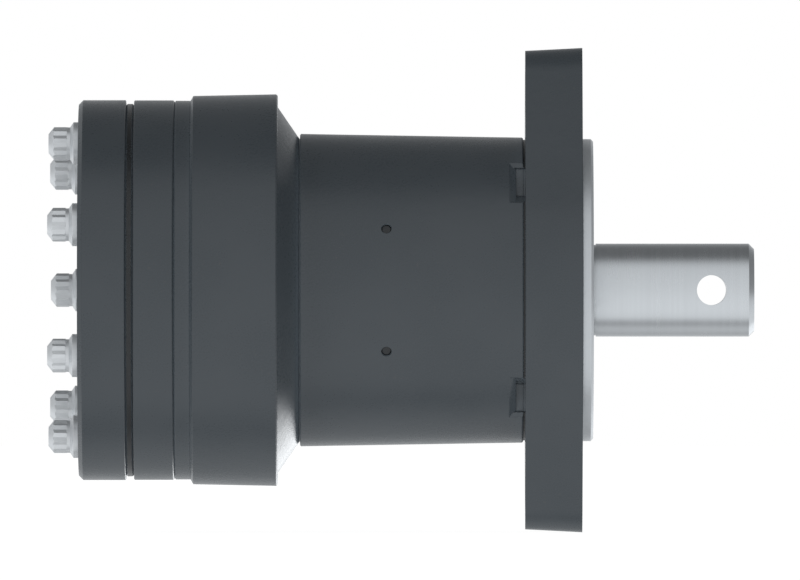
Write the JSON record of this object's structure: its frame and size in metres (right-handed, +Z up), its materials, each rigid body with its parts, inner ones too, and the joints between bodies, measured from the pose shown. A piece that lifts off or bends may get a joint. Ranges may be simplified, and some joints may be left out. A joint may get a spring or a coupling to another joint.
{
  "type": "orbital hydraulic motor",
  "caption": "Compact orbital hydraulic motor with a diamond mounting flange, round pilot, straight cross-drilled shaft and a bolted rotor set behind the housing.",
  "frame": {"origin": "centre of the mounting face of the flange, on the shaft axis", "axes": "+X along the output shaft, +Z up in line with the two mounting holes, +Y the side with the hydraulic ports"},
  "size_m": [0.1926, 0.107, 0.1324],
  "materials": {
    "painted_iron": "semi-gloss",
    "ground_steel": "ground",
    "bearing_steel": "ground",
    "zinc_plated_steel": "satin",
    "bearing_brass": "satin",
    "seal_rubber": "matte"
  },
  "bodies": {
    "motor_case": {"mounting_flange": "painted_iron", "flange_screws": "zinc_plated_steel", "wiper_seal": "seal_rubber", "shaft_seal": "seal_rubber", "backup_washer": "bearing_steel", "front_race": "bearing_steel", "flange_seal": "seal_rubber", "housing": "painted_iron", "drain_plug": "zinc_plated_steel", "drain_plug_seal": "seal_rubber", "housing_face_seal": "seal_rubber", "distributor_plate": "painted_iron", "plate_face_seal": "seal_rubber", "gear_ring": "painted_iron", "ring_face_seal": "seal_rubber", "wear_plate": "painted_iron", "cover_face_seal": "seal_rubber", "end_cover": "painted_iron", "cover_bolts": "zinc_plated_steel"},
    "shaft": {"output_shaft": "ground_steel", "rear_race": "bearing_steel"},
    "bearing": {"bearing_cage": "bearing_brass", "bearing_needles": "bearing_steel"},
    "orbit": {"drive_spacer": "bearing_steel"},
    "rotor_gear": {"rotor": "bearing_steel"},
    "link": {"drive_link": "bearing_steel"},
    "roller_body_1": {"roller_1": "bearing_steel"},
    "roller_body_2": {"roller_2": "bearing_steel"},
    "roller_body_3": {"roller_3": "bearing_steel"},
    "roller_body_4": {"roller_4": "bearing_steel"},
    "roller_body_5": {"roller_5": "bearing_steel"},
    "roller_body_6": {"roller_6": "bearing_steel"},
    "roller_body_7": {"roller_7": "bearing_steel"}
  },
  "joints": [
    {"name": "shaft_spin", "type": "hinge", "parent": "motor_case", "child": "shaft", "pos_m": [0, 0, 0], "axis": [1, 0, 0], "continuous": true},
    {"name": "bearing_roll", "type": "hinge", "parent": "motor_case", "child": "bearing", "pos_m": [-0.013, 0, 0], "axis": [1, 0, 0], "continuous": true},
    {"name": "rotor_orbit", "type": "hinge", "parent": "motor_case", "child": "orbit", "pos_m": [-0.11688, 0, 0], "axis": [1, 0, 0], "continuous": true},
    {"name": "rotor_turn", "type": "hinge", "parent": "orbit", "child": "rotor_gear", "pos_m": [-0.11688, -0.0029, 0], "axis": [1, 0, 0], "continuous": true},
    {"name": "link_turn", "type": "hinge", "parent": "orbit", "child": "link", "pos_m": [-0.045, 0, 0], "axis": [0.9992, 0.0403, 0], "continuous": true},
    {"name": "roller_spin_1", "type": "hinge", "parent": "motor_case", "child": "roller_body_1", "pos_m": [-0.11688, 0.03018, 0.01454], "axis": [1, 0, 0], "continuous": true},
    {"name": "roller_spin_2", "type": "hinge", "parent": "motor_case", "child": "roller_body_2", "pos_m": [-0.11688, 0.00745, 0.03266], "axis": [1, 0, 0], "continuous": true},
    {"name": "roller_spin_3", "type": "hinge", "parent": "motor_case", "child": "roller_body_3", "pos_m": [-0.11688, -0.02089, 0.02619], "axis": [1, 0, 0], "continuous": true},
    {"name": "roller_spin_4", "type": "hinge", "parent": "motor_case", "child": "roller_body_4", "pos_m": [-0.11688, -0.0335, 0], "axis": [1, 0, 0], "continuous": true},
    {"name": "roller_spin_5", "type": "hinge", "parent": "motor_case", "child": "roller_body_5", "pos_m": [-0.11688, -0.02089, -0.02619], "axis": [1, 0, 0], "continuous": true},
    {"name": "roller_spin_6", "type": "hinge", "parent": "motor_case", "child": "roller_body_6", "pos_m": [-0.11688, 0.00745, -0.03266], "axis": [1, 0, 0], "continuous": true},
    {"name": "roller_spin_7", "type": "hinge", "parent": "motor_case", "child": "roller_body_7", "pos_m": [-0.11688, 0.03018, -0.01454], "axis": [1, 0, 0], "continuous": true}
  ],
  "couplings": [
    {"joint": "bearing_roll", "follows": "shaft_spin", "ratio": 0.5},
    {"joint": "rotor_orbit", "follows": "shaft_spin", "ratio": -6},
    {"joint": "rotor_turn", "follows": "shaft_spin", "ratio": 7},
    {"joint": "link_turn", "follows": "shaft_spin", "ratio": 7}
  ]
}
